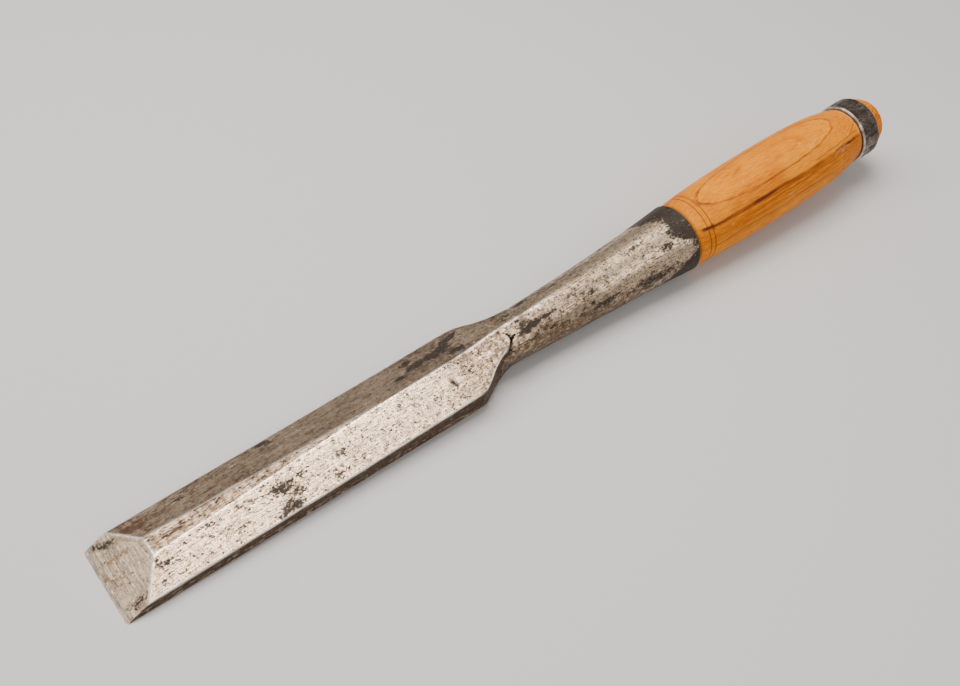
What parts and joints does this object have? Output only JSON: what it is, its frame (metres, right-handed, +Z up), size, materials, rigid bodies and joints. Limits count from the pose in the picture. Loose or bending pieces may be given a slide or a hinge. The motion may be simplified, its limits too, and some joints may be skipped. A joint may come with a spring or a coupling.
{
  "type": "socket chisel",
  "caption": "Heavy bevel-edged socket chisel for timber framing: long roof-topped blade, forged conical socket, turned wooden handle and steel striking hoop.",
  "frame": {"origin": "centre of the bounding box, at its underside, on the surface that the tool lies on", "axes": "+X along the tool from the cutting edge to the striking end, +Y across the blade, +Z up; the flat back faces down and leans 1.4 degrees, because the tool lies on its cutting edge and on the lower rim of its socket"},
  "size_m": [0.4498, 0.0388, 0.0426],
  "materials": {
    "blade_iron": "worn bare wrought iron, pitted and stained",
    "tool_steel": "ground tool steel, lightly stained",
    "socket_iron": "forged iron, densely pitted, dark round the mouth",
    "handle_wood": "oiled amber hardwood, satin",
    "hoop_steel": "dark oxidised steel with a bright front edge"
  },
  "bodies": {
    "forging": {"blade": "blade_iron", "edge_steel": "tool_steel", "socket": "socket_iron"},
    "turned_handle": {"handle": "handle_wood"},
    "hoop": {"strike_hoop": "hoop_steel"}
  },
  "joints": [
    {"name": "handle_withdraw", "type": "slide", "parent": "forging", "child": "turned_handle", "axis": [0.9979, 0, 0.0655], "range_m": [0, 0.085]},
    {"name": "hoop_slide", "type": "slide", "parent": "turned_handle", "child": "hoop", "axis": [0.9979, 0, 0.0655], "range_m": [0, 0.03]}
  ]
}
